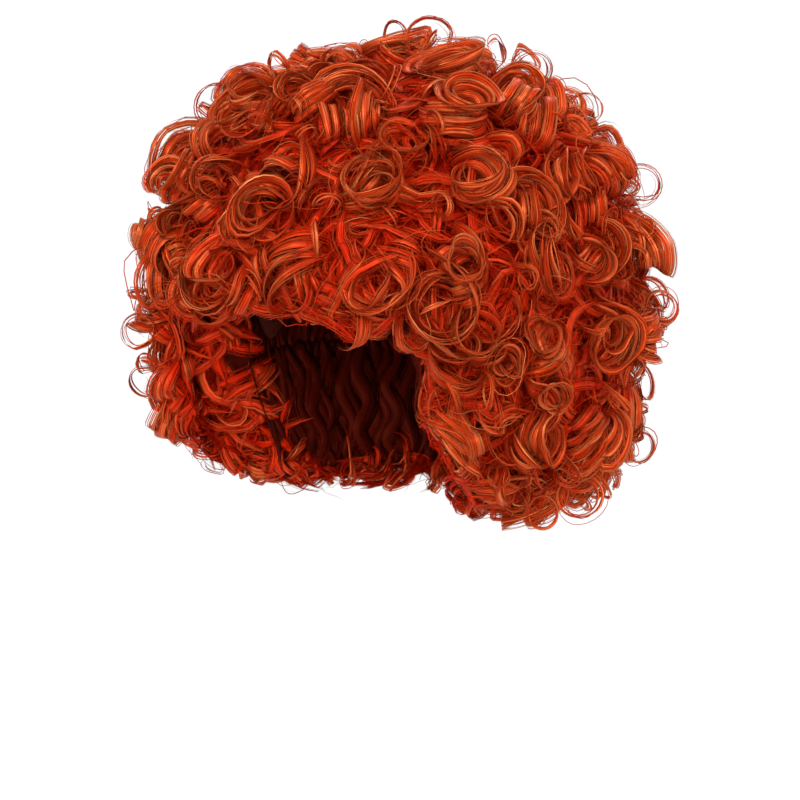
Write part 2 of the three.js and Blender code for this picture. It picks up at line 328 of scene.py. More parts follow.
def surface_frame(turn, share):
    """The under-hair's point at a turn and share, with its outward and uphill directions."""
    step = 0.01
    foot = mat_point(turn, latitude_at(share))
    sideways = around(turn + WIDEST, 1.0, 0.0)
    down = mat_point(turn, latitude_at(share + step)) - mat_point(turn, latitude_at(share - step))
    up = np.broadcast_to(np.array([0.0, 0.0, 1.0]), foot.shape)
    outward = np.where((share < step)[..., None], up, np.cross(down, sideways))
    outward = unit(outward)
    return foot, outward, np.cross(outward, sideways)


@dataclass
class Section:
    """One section of hair, with turns in radians."""

    name: str
    start: float
    start_at_hem: float
    end: float
    top: float
    hem: float
    past_front: float
    past_hem: float
    has_front: bool
    mirrored: bool
    first_pose: int

    def front(self, down):
        """The turn of the front edge, a share of the way down the section."""
        return lerp(self.start, self.start_at_hem, down)

    def past(self, part):
        """The section with a part of the way past its free edges."""
        return replace(
            self,
            start=self.start - part * self.past_front,
            start_at_hem=self.start_at_hem - part * self.past_front,
            hem=self.hem + part * self.past_hem,
        )


def all_sections():
    """The table's rows, with one section for each side of a pair."""
    found = []
    for row in SECTIONS:
        slant = CHEEK_FRONT_AT_HEM if row["name"] == "cheek_curls" else row["from"]
        section = Section(
            name=row["name"],
            start=math.radians(row["from"]),
            start_at_hem=math.radians(slant),
            end=math.radians(row["to"]),
            top=row["top"],
            hem=row["hem"],
            past_front=math.radians(row.get("past_front", 0)),
            past_hem=row.get("past_hem", 0),
            has_front="past_front" in row,
            mirrored=False,
            first_pose=len(found),
        )
        if row["from"] < 0:
            found.append(section)
            continue
        found.append(replace(section, name=row["name"] + "_left"))
        right = replace(section, name=row["name"] + "_right", mirrored=True, first_pose=len(found))
        found.append(right)
    return found


@dataclass
class Curls:
    """A group of curls, with one row for each.

    top is how high a curl rises over its foot, and bed is where the hair under it stops it.
    """

    foot: np.ndarray
    outward: np.ndarray
    uphill: np.ndarray
    radius: np.ndarray
    lean: np.ndarray
    spin: np.ndarray
    hand: np.ndarray
    top: np.ndarray
    bed: np.ndarray

    def __len__(self):
        return len(self.radius)


def joined(groups):
    """Several groups of curls as one."""
    columns = {f.name: np.concatenate([getattr(g, f.name) for g in groups]) for f in fields(Curls)}
    return Curls(**columns)


# Where the hair under a curl stops it, over the surface and on the free faces
SURFACE_BED = -0.005
FACE_BED = -0.011


def curls_at(turn, share, radius, lean, spin, hand, top):
    foot, outward, uphill = surface_frame(turn, share)
    bed = np.full(len(radius), SURFACE_BED)
    return Curls(foot, outward, uphill, radius, np.radians(lean), np.radians(spin), hand, top, bed)


def rows_of_cells(section, pitch):
    """The middles and sizes of the cells that fill a section at a pitch."""
    height = (section.hem - section.top) * MERIDIAN_LENGTH
    rows = max(1, round(height / pitch))
    turns, shares, cells = [], [], []
    for row in range(rows):
        down = (row + 0.5) / rows
        share = lerp(section.top, section.hem, down)
        start = section.front(down)
        middle = mat_point(np.array((start + section.end) / 2), latitude_at(np.array(share)))
        width = math.hypot(middle[0], middle[1]) * (section.end - start)
        count = max(1, round(width / pitch))
        places = (np.arange(count) + 0.5) / count
        turns.append(lerp(start, section.end, places))
        shares.append(np.full(count, share))
        cells.append(np.full(count, min(pitch, width / count, height / rows)))
    return np.concatenate(turns), np.concatenate(shares), np.concatenate(cells)


def large_curls(section):
    """The ringlets that shape a section, where the solid's locks are."""
    turn, share, cell = rows_of_cells(section.past(HANG), CURL_PITCH)
    pose = CURL_POSES[(section.first_pose + np.arange(len(turn))) % len(CURL_POSES)]
    radius = (cell * CELL_FILLED - LOCK_THICKNESS) / 2
    top = np.full(len(turn), CURL_STAND)
    return curls_at(turn, share, radius, pose[:, 0], pose[:, 1], pose[:, 2], top)


def placed_curls(section, table, height):
    """The curls that a table places on a section, if there are any."""
    rows = [row[1:] for row in table if row[0] == section.name]
    if not rows:
        return []
    turn, share, radius, lean, spin = np.array(rows, dtype=float).T
    hand = np.where(np.arange(len(rows)) % 2 == 0, 1.0, -1.0)
    top = np.full(len(rows), height)
    return [curls_at(np.radians(turn), share, radius, lean, spin, hand, top)]


def scattered(section, pitch, stray, rng):
    """Places all over a section at a pitch, each moved by up to a part of its cell."""
    turn, share, cell = rows_of_cells(section.past(HANG), pitch)
    turn = turn + rng.uniform(-stray, stray, len(turn)) * cell / HAIR_HALF_WIDTH
    share = share + rng.uniform(-stray, stray, len(turn)) * cell / MERIDIAN_LENGTH
    return turn, share


# The filler curls: how far they stray in their cells, their radius as a part of their pitch and how it
# spreads, their lean, their height under and between the large curls, and how near a large curl counts
FILLER_STRAY = 0.42
FILLER_RADIUS = (0.34, 0.80)
FILLER_SPREAD = (1.3, 1.5)
FILLER_LEAN = (5, 90)
FILLER_TOP_UNDER = 0.5
FILLER_TOP_BETWEEN = (0.6, 1.1)
FILLER_NEAR = (0.2 * CURL_PITCH, 0.6 * CURL_PITCH)


def filler_curls(section, large, sizes, rng):
    """Smaller curls of every size between the large ones, and lower down inside their rings."""
    turn, share = scattered(section, sizes.filler_pitch, FILLER_STRAY, rng)
    count = len(turn)
    foot = surface_frame(turn, share)[0]
    nearest = np.linalg.norm(foot[:, None] - large.foot[None], axis=2).min(axis=1)
    between = smoothstep(*FILLER_NEAR, nearest)
    return curls_at(
        turn,
        share,
        radius=lerp(*FILLER_RADIUS, rng.beta(*FILLER_SPREAD, count)) * sizes.filler_pitch,
        lean=rng.uniform(*FILLER_LEAN, count),
        spin=rng.uniform(0, 360, count),
        hand=rng.choice(HANDS, count),
        top=lerp(FILLER_TOP_UNDER, rng.uniform(*FILLER_TOP_BETWEEN, count), between) * CURL_STAND,
    )


# Other curls all over a section: their radius, lean in degrees, and height as parts of the curls' stand
LOOSE_LIMITS = {"radius": (0.006, 0.013), "lean": (40, 100), "top": (1.0, 1.42)}
ARC_LIMITS = {"radius": (0.014, 0.028), "lean": (-30, 30), "top": (0.55, 0.95)}


def random_curls(section, pitch, limits, rng):
    """Curls all over a section, each with a size, lean and height within limits."""
    turn, share = scattered(section, pitch, 0.5, rng)
    count = len(turn)
    return curls_at(
        turn,
        share,
        radius=rng.uniform(*limits["radius"], count),
        lean=rng.uniform(*limits["lean"], count),
        spin=rng.uniform(0, 360, count),
        hand=rng.choice(HANDS, count),
        top=rng.uniform(*limits["top"], count) * CURL_STAND,
    )


def edge_curls(section, sizes, rng):
    """Curls on the faces that look down at a free hem, or forward at a free front."""
    groups = []
    if section.past_hem:
        places = hem_places(section, sizes.edge_pitch, rng)
        groups.append(face_curls(*places, HEM_REACH, rng))
    if section.has_front:
        places = front_places(section, FRONT_CLOSER * sizes.edge_pitch, rng)
        groups.append(face_curls(*places, FRONT_REACH, rng))
    return groups


# How far curls stray on a free face's grid, their radius and lean, and their heights
FACE_STRAY_ACROSS = 0.4
FACE_STRAY_OUT = 0.3
FACE_RADIUS = (0.0065, 0.0130)
FACE_LEAN = (15, 90)
FACE_TOP = (0.4, 1.0)


def face_cells(width, depth, pitch, rng):
    """Places across a free face and out from the head, as shares, on a jittered grid."""
    columns = max(2, round(width / pitch))
    rows = max(2, round(depth / pitch))
    across = np.tile((np.arange(columns) + 0.5) / columns, rows)
    out = np.repeat((np.arange(rows) + 0.5) / rows, columns)
    across = across + rng.uniform(-FACE_STRAY_ACROSS, FACE_STRAY_ACROSS, len(across)) / columns
    out = out + rng.uniform(-FACE_STRAY_OUT, FACE_STRAY_OUT, len(out)) / rows
    return np.clip(across, 0, 1), out


def face_curls(foot, outward, uphill, reach_out, rng):
    """Small curls on a free face, which stand out by parts of the given reach."""
    count = len(foot)
    return Curls(
        foot=foot,
        outward=outward,
        uphill=uphill,
        radius=rng.uniform(*FACE_RADIUS, count),
        lean=np.radians(rng.uniform(*FACE_LEAN, count)),
        spin=rng.uniform(0, TAU, count),
        hand=rng.choice(HANDS, count),
        top=rng.uniform(*FACE_TOP, count) * reach_out,
        bed=np.full(count, FACE_BED),
    )


# How far up from the hem its own curls start, as a share, how far each face's curls reach, how much closer
# they stand at the front, and at what part of the hair's depth each face's curls point straight off it
HEM_CURLS_UP = 0.02
HEM_REACH = 0.012
FRONT_REACH = 0.010
FRONT_CLOSER = 0.84
HEM_FLARE_FROM = 0.3
FRONT_FLARE_FROM = 0.4


def hem_places(section, pitch, rng):
    """Places on the face that looks down, with their outward and uphill directions."""
    latitude = latitude_at(np.array(section.hem - HEM_CURLS_UP))
    start = section.front(1.0)
    middle = np.array((start + section.end) / 2)
    outer, inner = mat_point(middle, latitude), head_point(middle, latitude)
    width = math.hypot(outer[0], outer[1]) * (section.end - start)
    across, out = face_cells(width, np.linalg.norm(outer - inner), pitch, rng)
    turn = lerp(start, section.end, across)
    foot = lerp(head_point(turn, latitude), mat_point(turn, latitude), out[:, None])
    outward = unit(np.array([0.0, 0.0, -1.0]) + around(turn, 1.0, 0.0) * (out[:, None] - HEM_FLARE_FROM))
    return foot, outward, np.cross(outward, around(turn + WIDEST, 1.0, 0.0))


def front_places(section, pitch, rng):
    """Places on the face that looks forward, with their outward and uphill directions."""
    height = (section.hem - section.top) * MERIDIAN_LENGTH
    turn = np.array(section.front(0.5))
    latitude = latitude_at(np.array((section.top + section.hem) / 2))
    depth = np.linalg.norm(mat_point(turn, latitude) - head_point(turn, latitude))
    down, out = face_cells(height, depth, pitch, rng)
    turn = section.front(down)
    latitude = latitude_at(lerp(section.top, section.hem, down))
    foot = lerp(head_point(turn, latitude), mat_point(turn, latitude), out[:, None])
    flare = around(turn, 1.0, 0.0) * (out[:, None] - FRONT_FLARE_FROM)
    outward = unit(flare - around(turn + WIDEST, 1.0, 0.0))
    return foot, outward, np.broadcast_to(np.array([0.0, 0.0, 1.0]), foot.shape)


@dataclass
class Style:
    """How a kind of curl is made of bundles, and each bundle of ribbons and loose strands."""

    bundles: int
    ribbons: int
    ribbon_steps: int
    strands: int
    strand_steps: int
    spread: float
    width: float
    turns: tuple
    tightening: tuple
    looseness: float = 1.0
    is_cut: bool = True


# Bundles, ribbons with their steps, strands with their steps, how far the bundles spread along the axis,
# the ribbons' width, the turns, and what is left of the radius at the tip
LARGE = Style(3, 3, 44, 1, 30, 0.013, 1.45, (1.0, 1.8), (0.35, 0.75))
RING = Style(2, 3, 46, 1, 32, 0.006, 1.0, (1.4, 2.1), (0.45, 0.7), looseness=0.3)
LOOP = Style(1, 2, 34, 2, 30, 0.0, 0.45, (1.1, 1.5), (0.7, 0.95), looseness=0.2, is_cut=False)
FILLER = Style(1, 3, 26, 2, 22, 0.0, 1.1, (0.7, 1.5), (0.4, 0.9))
EDGE = Style(1, 3, 18, 1, 18, 0.0, 1.0, (0.6, 1.5), (0.45, 1.0))
ARC = Style(1, 4, 14, 2, 14, 0.0, 0.85, (0.3, 0.65), (0.6, 0.9))
LOOSE = Style(1, 2, 26, 1, 24, 0.0, 0.42, (0.8, 1.5), (0.5, 1.1))
RIBBON_SIDES = 4
STRAND_SIDES = 3


@dataclass
class Windings:
    """Bundles, ribbons or strands that wind round a curl's axis, with one row for each."""

    foot: np.ndarray
    outward: np.ndarray
    bed: np.ndarray
    centre: np.ndarray
    axis: np.ndarray
    start: np.ndarray
    root: np.ndarray
    wide: np.ndarray
    thin: np.ndarray
    radius: np.ndarray
    last_radius: np.ndarray
    turns: np.ndarray
    phase: np.ndarray
    rise: np.ndarray
    tilt: np.ndarray
    frizz: np.ndarray
    tone: np.ndarray

    def __len__(self):
        return len(self.radius)


def directions(curls, lean, spin):
    """The axis of each curl and the direction that its winding starts in."""
    sideways = np.cross(curls.uphill, curls.outward)
    leaning = sideways * np.cos(spin)[:, None] + curls.uphill * np.sin(spin)[:, None]
    axis = curls.outward * np.cos(lean)[:, None] + leaning * np.sin(lean)[:, None]
    start = leaning * np.cos(lean)[:, None] - curls.outward * np.sin(lean)[:, None]
    return axis, start


def repeated(rows, copies):
    """Each row of a dataclass of arrays several times."""
    return type(rows)(**{f.name: np.repeat(getattr(rows, f.name), copies, axis=0) for f in fields(rows)})


# How bundles differ from their curl: lean and direction in radians, size, place, and root
LEAN_STRAY = 0.30
SPIN_STRAY = 0.35
SIZE_STRAY = (-0.1, 0.4)
PLACE_STRAY = 0.0035
ROOT_UPHILL = (0.9, 1.8)
ROOT_DEPTH = 0.006
PHASES = (-0.6, 0.6)
RISE = (-1.3, 0.5)
TILT = (0.3, 0.35)
TONES = (0.1, 0.9)


def places_across(count, rows):
    """For each row the places of its members side by side, from -0.5 to 0.5."""
    return np.tile(np.linspace(-0.5, 0.5, count) if count > 1 else np.zeros(1), rows)


def bundles_of(curls, style, sizes, rng):
    """The bundles of each curl, each with an axis and size a little off the curl's own."""
    place = places_across(style.bundles, len(curls))
    curls = repeated(curls, style.bundles)
    count = len(curls)
    lean = curls.lean + rng.normal(0, LEAN_STRAY * style.looseness, count)
    spin = curls.spin + rng.normal(0, SPIN_STRAY * style.looseness, count)
    axis, start = directions(curls, lean, spin)
    radius = curls.radius * (1 - style.looseness * rng.uniform(*SIZE_STRAY, count))
    turns = rng.uniform(*style.turns, count)
    over = np.abs(np.sin(lean)) * radius + np.abs(np.cos(lean)) * sizes.ribbon_width
    lift = curls.top - over
    centre = curls.foot + curls.outward * lift[:, None] + axis * (place * style.spread)[:, None]
    centre = centre + rng.normal(0, PLACE_STRAY * style.looseness, (count, 3))
    root = centre + curls.uphill * (radius * rng.uniform(*ROOT_UPHILL, count))[:, None]
    root = root - curls.outward * (lift + ROOT_DEPTH)[:, None]
    return Windings(
        foot=curls.foot,
        outward=curls.outward,
        bed=curls.bed,
        centre=centre,
        axis=axis,
        start=start,
        root=root,
        wide=np.zeros(count),
        thin=np.zeros(count),
        radius=radius,
        last_radius=radius * rng.uniform(*style.tightening, count),
        turns=turns * curls.hand,
        phase=rng.uniform(*PHASES, count),
        rise=turns * sizes.ribbon_width * rng.uniform(*RISE, count),
        tilt=rng.normal(*TILT, count),
        frizz=np.full(count, sizes.frizz),
        tone=rng.uniform(*TONES, count),
    )


# How ribbons lie in a bundle: from one to the next in widths, off the bundle's middle, and their frizz
RIBBON_STEP = 0.75
RIBBON_OFF = 0.0007
RIBBON_FRIZZ = 0.25


def ribbons_of(bundles, style, sizes, rng):
    """The ribbons side by side that make up each bundle."""
    place = places_across(style.ribbons, len(bundles))
    across = style.width * sizes.ribbon_width * (style.ribbons - 1) * RIBBON_STEP
    return strayed(
        repeated(bundles, style.ribbons),
        wide=place * across,
        thin=rng.normal(0, RIBBON_OFF, len(place)),
        frizz=RIBBON_FRIZZ * sizes.frizz,
        rng=rng,
    )


# How loose strands lie by their bundle: across it as parts of its width, off its middle, and their frizz
STRAND_ACROSS = 0.36
STRAY_LIMIT = 0.55
STRAND_OFF = (0.0008, 0.0009)
STRAND_FRIZZ = (0.2, 1.3)


def strands_of(bundles, style, sizes, rng):
    """Loose strands that wind with each bundle, on it and beside it."""
    rows = repeated(bundles, style.strands)
    across = style.width * sizes.ribbon_width * style.ribbons
    return strayed(
        rows,
        wide=np.clip(rng.normal(0, STRAND_ACROSS, len(rows)), -STRAY_LIMIT, STRAY_LIMIT) * across,
        thin=rng.normal(*STRAND_OFF, len(rows)),
        frizz=rng.uniform(*STRAND_FRIZZ, len(rows)) * sizes.frizz,
        rng=rng,
    )


# How the members of a bundle differ: three as parts, two in radians, and the tone
RADIUS_STRAY = 0.025
LAST_RADIUS_STRAY = 0.1
TURNS_STRAY = 0.05
PHASE_STRAY = 0.06
TILT_STRAY = 0.12
TONE_STRAY = 0.22


def strayed(rows, wide, thin, frizz, rng):
    """Members of a bundle, each at its place across the bundle and a little off its way."""
    count = len(rows)
    return replace(
        rows,
        wide=wide,
        thin=thin,
        radius=rows.radius * rng.normal(1, RADIUS_STRAY, count),
        last_radius=rows.last_radius * rng.normal(1, LAST_RADIUS_STRAY, count),
        turns=rows.turns * rng.normal(1, TURNS_STRAY, count),
        phase=rows.phase + rng.normal(0, PHASE_STRAY, count),
        tilt=rows.tilt + rng.normal(0, TILT_STRAY, count),
        frizz=frizz + np.zeros(count),
        tone=rows.tone + rng.normal(0, TONE_STRAY, count),
    )


# How windings run: how far a bundle clumps at its tip, how the ribbons rock, how fast they tighten, which
# part leads from the root, and how far hair gives that is pressed into its bed
CLUMPING = 0.65
ROCKING = 0.35
ROCKING_WAVES = 2.2
ROCKING_START = 9
TIGHTENING_POWER = 0.8
RISE_MIDDLE = 0.3
ROOT_PART = 0.22
BED_GIVE = 0.25


def wind(rows, steps, rng):
    """The paths of windings, their wide directions and how high each point lies."""
    share = np.linspace(0, 1, steps)[None, :]
    angle = rows.phase[:, None] + TAU * rows.turns[:, None] * share
    clumping = 1 - CLUMPING * share**2
    rocking = np.sin(ROCKING_WAVES * angle + ROCKING_START * rows.tone[:, None])
    tilt = rows.tilt[:, None] + ROCKING * rocking
    wide, thin = rows.wide[:, None] * clumping, rows.thin[:, None]
    radius = lerp(rows.radius[:, None], rows.last_radius[:, None], share**TIGHTENING_POWER)
    radius = radius + wide * np.sin(tilt) + thin * np.cos(tilt)
    axial = rows.rise[:, None] * (share - RISE_MIDDLE) + wide * np.cos(tilt) - thin * np.sin(tilt)
    across = np.cross(rows.axis, rows.start)[:, None, :]
    radial = rows.start[:, None, :] * np.cos(angle)[..., None] + across * np.sin(angle)[..., None]
    axis = rows.axis[:, None, :]
    path = rows.centre[:, None, :] + radial * radius[..., None] + axis * axial[..., None]
    path = path + strays(rows.frizz, share, rng)
    out = smoothstep(0, ROOT_PART, share)[..., None]
    path = lerp(rows.root[:, None, :], path, out)
    height = dot(path - rows.foot[:, None, :], rows.outward[:, None, :])
    bed = rows.bed[:, None, None]
    settled = np.where(height < bed, bed + BED_GIVE * (height - bed), height)
    path = path + rows.outward[:, None, :] * (settled - height)
    broad = axis * np.cos(tilt)[..., None] + radial * np.sin(tilt)[..., None]
    return path, broad, settled[..., 0]


# The waves of a path's wavering along its length, and how much of it there is at the root
STRAY_WAVES = (0.7, 1.7, 3.3)
STRAY_AT_ROOT = 0.4


def strays(size, share, rng):
    """Slow wavering of each path, as offsets along it."""
    count = len(size)
    offset = np.zeros((count, share.shape[1], 3))
    for waves in STRAY_WAVES:
        side = rng.normal(0, 1, (count, 1, 3))
        swing = np.sin(TAU * (waves * share + rng.uniform(0, 1, (count, 1))))
        offset += side * swing[..., None] / math.sqrt(waves)
    return offset * size[:, None, None] * lerp(STRAY_AT_ROOT, 1, share[..., None])


@dataclass
class Profile:
    """A tube's thickness as a part of its width, its width along its length, and where its fibres part."""

    flatness: float
    places: tuple
    widths: tuple
    parting: tuple
    edge_parting: float


RIBBON = Profile(
    flatness=0.15,
    places=(0, 0.15, 0.5, 0.8, 1),
    widths=(0.5, 1, 0.95, 0.75, 0.35),
    parting=(0.3, 0, 0.05, 0.2, 0.9),
    edge_parting=0.75,
)
INNER = replace(RIBBON, flatness=0.08, parting=(-0.3,) * 5, edge_parting=0.9)
STRAND = Profile(
    flatness=1.0,
    places=(0, 0.1, 0.8, 1),
    widths=(0.7, 1, 0.8, 0.2),
    parting=(-1, -1, -1, -1),
    edge_parting=0.0,
)


@dataclass
class Tubes:
    """Closed tubes as arrays, ready to be joined into one mesh."""

    points: np.ndarray
    loops: np.ndarray
    loop_counts: np.ndarray
    uv: np.ndarray
    depth: np.ndarray
    tone: np.ndarray
    parting: np.ndarray


NEAR = 1e-9
MILLIMETRES = 1000
UV_STARTS = 5000


def tubes(path, wide, depth, width, sides, profile, tone, rng):
    """A flat closed tube along each path, tapered by a profile. Lengths on its UV map are in millimetres."""
    count, steps, _ = path.shape
    tangent = unit(np.gradient(path, axis=1) + NEAR)
    wide = unit(wide - tangent * dot(wide, tangent) + NEAR)
    thin = np.cross(tangent, wide)
    share = np.linspace(0, 1, steps)
    taper = np.interp(share, profile.places, profile.widths)[None, :, None]
    half_width = width[:, None, None] / 2 * taper
    half_thickness = half_width * profile.flatness
    angles = TAU * np.arange(sides) / sides
    parting = np.interp(share, profile.places, profile.parting)[:, None]
    parting = parting + profile.edge_parting * np.abs(np.cos(angles))[None, :]
    ring = (
        path[:, :, None, :]
        + wide[:, :, None, :] * (half_width * np.cos(angles))[..., None]
        + thin[:, :, None, :] * (half_thickness * np.sin(angles))[..., None]
    )
    first = (np.arange(count)[:, None, None] * steps + np.arange(steps)[None, :, None]) * sides
    here = first + np.arange(sides)
    beside = first + (np.arange(sides) + 1) % sides
    quads = np.stack([here[:, :-1], beside[:, :-1], beside[:, 1:], here[:, 1:]], axis=-1).reshape(-1, 4)
    starts = here[:, 0, ::-1]
    ends = here[:, -1, :]
    loops = np.concatenate([quads.ravel(), starts.ravel(), ends.ravel()])
    loop_counts = np.concatenate([np.full(len(quads), 4), np.full(2 * count, sides)])
    uv = tube_uv(path, width, sides, rng)
    return Tubes(
        points=ring.reshape(-1, 3),
        loops=loops,
        loop_counts=loop_counts,
        uv=uv,
        depth=np.repeat(depth.ravel(), sides),
        tone=np.repeat(tone, steps * sides),
        parting=np.tile(parting.ravel(), count),
    )


# How far off the mats' surface hair counts as the deepest and as the outermost
DEEP = -0.008
OUTERMOST = 1.05 * CURL_STAND


def depth_of(height):
    """How near the outline each height over the under-hair lies: from 0 deep in the hair to 1."""
    return smoothstep(DEEP, OUTERMOST, height)


def tube_uv(path, width, sides, rng):
    """Each face corner's place: along the tube and across it, with its own start for each tube."""
    count, steps, _ = path.shape
    lengths = np.linalg.norm(np.diff(path, axis=1), axis=2)
    along = np.concatenate([np.zeros((count, 1)), np.cumsum(lengths, axis=1)], axis=1) * MILLIMETRES
    along = along + rng.uniform(0, UV_STARTS, (count, 1))
    half_width = width[:, None] / 2 * MILLIMETRES
    across = half_width * np.cos(TAU * np.arange(sides + 1) / sides)[None, :]
    across = across + rng.uniform(0, UV_STARTS, (count, 1))
    low, high = across[:, :-1], across[:, 1:]
    u0, u1 = along[:, :-1, None], along[:, 1:, None]
    zero = np.zeros((count, steps - 1, sides))
    v0, v1 = low[:, None, :] + zero, high[:, None, :] + zero
    quad_u = np.stack([u0 + zero, u0 + zero, u1 + zero, u1 + zero], axis=-1)
    quad_v = np.stack([v0, v1, v1, v0], axis=-1)
    quads = np.stack([quad_u, quad_v], axis=-1).reshape(-1, 2)
    starts = np.stack([along[:, :1] + 0 * low, low[:, ::-1]], axis=-1).reshape(-1, 2)
    ends = np.stack([along[:, -1:] + 0 * low, low], axis=-1).reshape(-1, 2)
    return np.concatenate([quads, starts, ends])


def mesh_of(name, parts):
    """One mesh of many tubes, with their UV map, and their depth, tone and parting as attributes."""
    offsets = np.cumsum([0] + [len(p.points) for p in parts[:-1]])
    points = np.concatenate([p.points for p in parts])
    loops = np.concatenate([p.loops + o for p, o in zip(parts, offsets)])
    counts = np.concatenate([p.loop_counts for p in parts])
    mesh = bpy.data.meshes.new(name)
    mesh.vertices.add(len(points))
    mesh.vertices.foreach_set("co", points.astype(np.float32).ravel())
    mesh.loops.add(len(loops))
    mesh.loops.foreach_set("vertex_index", loops.astype(np.int32))
    mesh.polygons.add(len(counts))
    starts = np.concatenate([[0], np.cumsum(counts)[:-1]])
    mesh.polygons.foreach_set("loop_start", starts.astype(np.int32))
    mesh.update(calc_edges=True)
    mesh.polygons.foreach_set("use_smooth", np.ones(len(counts), bool))
    uv = mesh.uv_layers.new(name="along_fibres")
    uv.data.foreach_set("uv", np.concatenate([p.uv for p in parts]).astype(np.float32).ravel())
    for label in ("depth", "tone", "parting"):
        values = np.concatenate([getattr(p, label) for p in parts]).astype(np.float32)
        mesh.attributes.new(label, "FLOAT", "POINT").data.foreach_set("value", values)
    return mesh


def on_side(section, *arrays):
    """Points or directions on the wearer's left, mirrored where the section is a right one."""
    flip = np.array([-1.0 if section.mirrored else 1.0, 1.0, 1.0])
    return [points * flip for points in arrays]


def ribbons_and_strands(curls, style, sizes, rng, section):
    """The tubes of a group of curls."""
    bundles = bundles_of(curls, style, sizes, rng)
    ribbons = ribbons_of(bundles, style, sizes, rng)
    strands = strands_of(bundles, style, sizes, rng)
    ribbon_width = style.width * sizes.ribbon_width
    return [
        wound(ribbons, style, style.ribbon_steps, RIBBON_SIDES, ribbon_width, RIBBON, rng, section),
        wound(strands, style, style.strand_steps, STRAND_SIDES, sizes.strand_width, STRAND, rng, section),
    ]


# The cut of the hair: how low the fringe and the hem hang at each turn in degrees, how far forward the
# sides come at each height, and the part of the way that curls beyond are moved back
FRINGE_TURNS = (-45, -30, -16, -3, 5, 11, 16, 25, 36, 45)
FRINGE_HEIGHTS = (-0.110, -0.102, -0.096, -0.086, -0.085, -0.090, -0.088, -0.101, -0.101, -0.112)
FRONT_HEIGHTS = (-0.212, -0.189, -0.184, -0.169, -0.151, -0.123, -0.100)
FRONT_TURNS = (75, 63, 57, 53, 47.5, 47, 43)
HEM_TURNS = (60, 70, 80, 95)
HEM_HEIGHTS = (-0.196, -0.199, -0.204, -0.210)
TRIMMED = 0.8
UNEVEN = (-0.008, 0.007)
WIDTH_SPREAD = (0.75, 1.3)


def beyond(limit, value):
    """How far each path goes past a limit at most."""
    return np.maximum(0, (limit - value).max(axis=1, keepdims=True))


def trimmed(path, name, rng):
    """Paths on the wearer's left or middle, each moved back inside the cut of its section, unevenly."""
    x, y, z = path[..., 0], path[..., 1], path[..., 2]
    turn, radius = np.arctan2(x, -y), np.hypot(x, y)
    if name == "fringe_curls":
        hem = np.interp(np.degrees(turn), FRINGE_TURNS, FRINGE_HEIGHTS)
    else:
        hem = np.interp(np.degrees(turn), HEM_TURNS, HEM_HEIGHTS)
    if name.startswith(("side_curls", "cheek_curls")):
        front = np.radians(np.interp(z, FRONT_HEIGHTS, FRONT_TURNS))
        front = np.where(z < FRONT_HEIGHTS[-1], front, turn)
        turn = turn + TRIMMED * beyond(front, turn)
    hem = hem + rng.uniform(*UNEVEN, (len(z), 1))
    return around(turn, radius, z + TRIMMED * beyond(hem, z))


def wound(rows, style, steps, sides, width, profile, rng, section):
    path, broad, height = wind(rows, steps, rng)
    if style.is_cut:
        path = trimmed(path, section.name, rng)
    path, broad = on_side(section, path, broad)
    widths = width * rng.uniform(*WIDTH_SPREAD, len(rows))
    return tubes(path, broad, depth_of(height), widths, sides, profile, rows.tone, rng)


@dataclass
class Fibres:
    """A kind of loose hair that lies over the under-hair as arcs."""

    steps: int
    sides: int
    profile: tuple
    width: tuple
    length: tuple
    height: tuple
    arch: tuple
    flyaways: float
    disorder: float


FUZZ = Fibres(
    steps=8,
    sides=STRAND_SIDES,
    profile=STRAND,
    width=(0.00028, 0.0005),
    length=(0.018, 0.042),
    height=(-0.003, 0.013),
    arch=(-0.2, 0.55),
    flyaways=0.1,
    disorder=0.8,
)
UNDERCOAT = Fibres(
    steps=7,
    sides=RIBBON_SIDES,
    profile=RIBBON,
    width=(0.005, 0.011),
    length=(0.028, 0.055),
    height=(-0.0075, 0.003),
    arch=(-0.1, 0.4),
    flyaways=0,
    disorder=0.3,
)
FLYAWAY_LIFT = (0.002, 0.008)

FIBRE_BEND = 0.9
FIBRE_FRIZZ = 0.8
FIBRE_TONES = (0, 1.1)

# How fast the direction of the under-hair changes, in radians a metre
FLOW_WAVES = 34.0


def flow(points):
    """A direction for the hair at each point that changes slowly from place to place."""
    x, y, z = (points * FLOW_WAVES).T
    return TAU * 0.35 * (np.sin(x + 2 * np.sin(z)) + np.sin(y - 1.3 * z) + np.cos(z + 1.7 * x))


def spread_places(section, pitch, rng):
    """Places all over a section, with their outward and uphill directions."""
    return surface_frame(*scattered(section, pitch, 0.5, rng))


def free_faces(section, pitch, rng):
    """Places on each of a section's free faces."""
    found = []
    if section.past_hem:
        found.append(hem_places(section, pitch, rng))
    if section.has_front:
        found.append(front_places(section, pitch, rng))
    return found


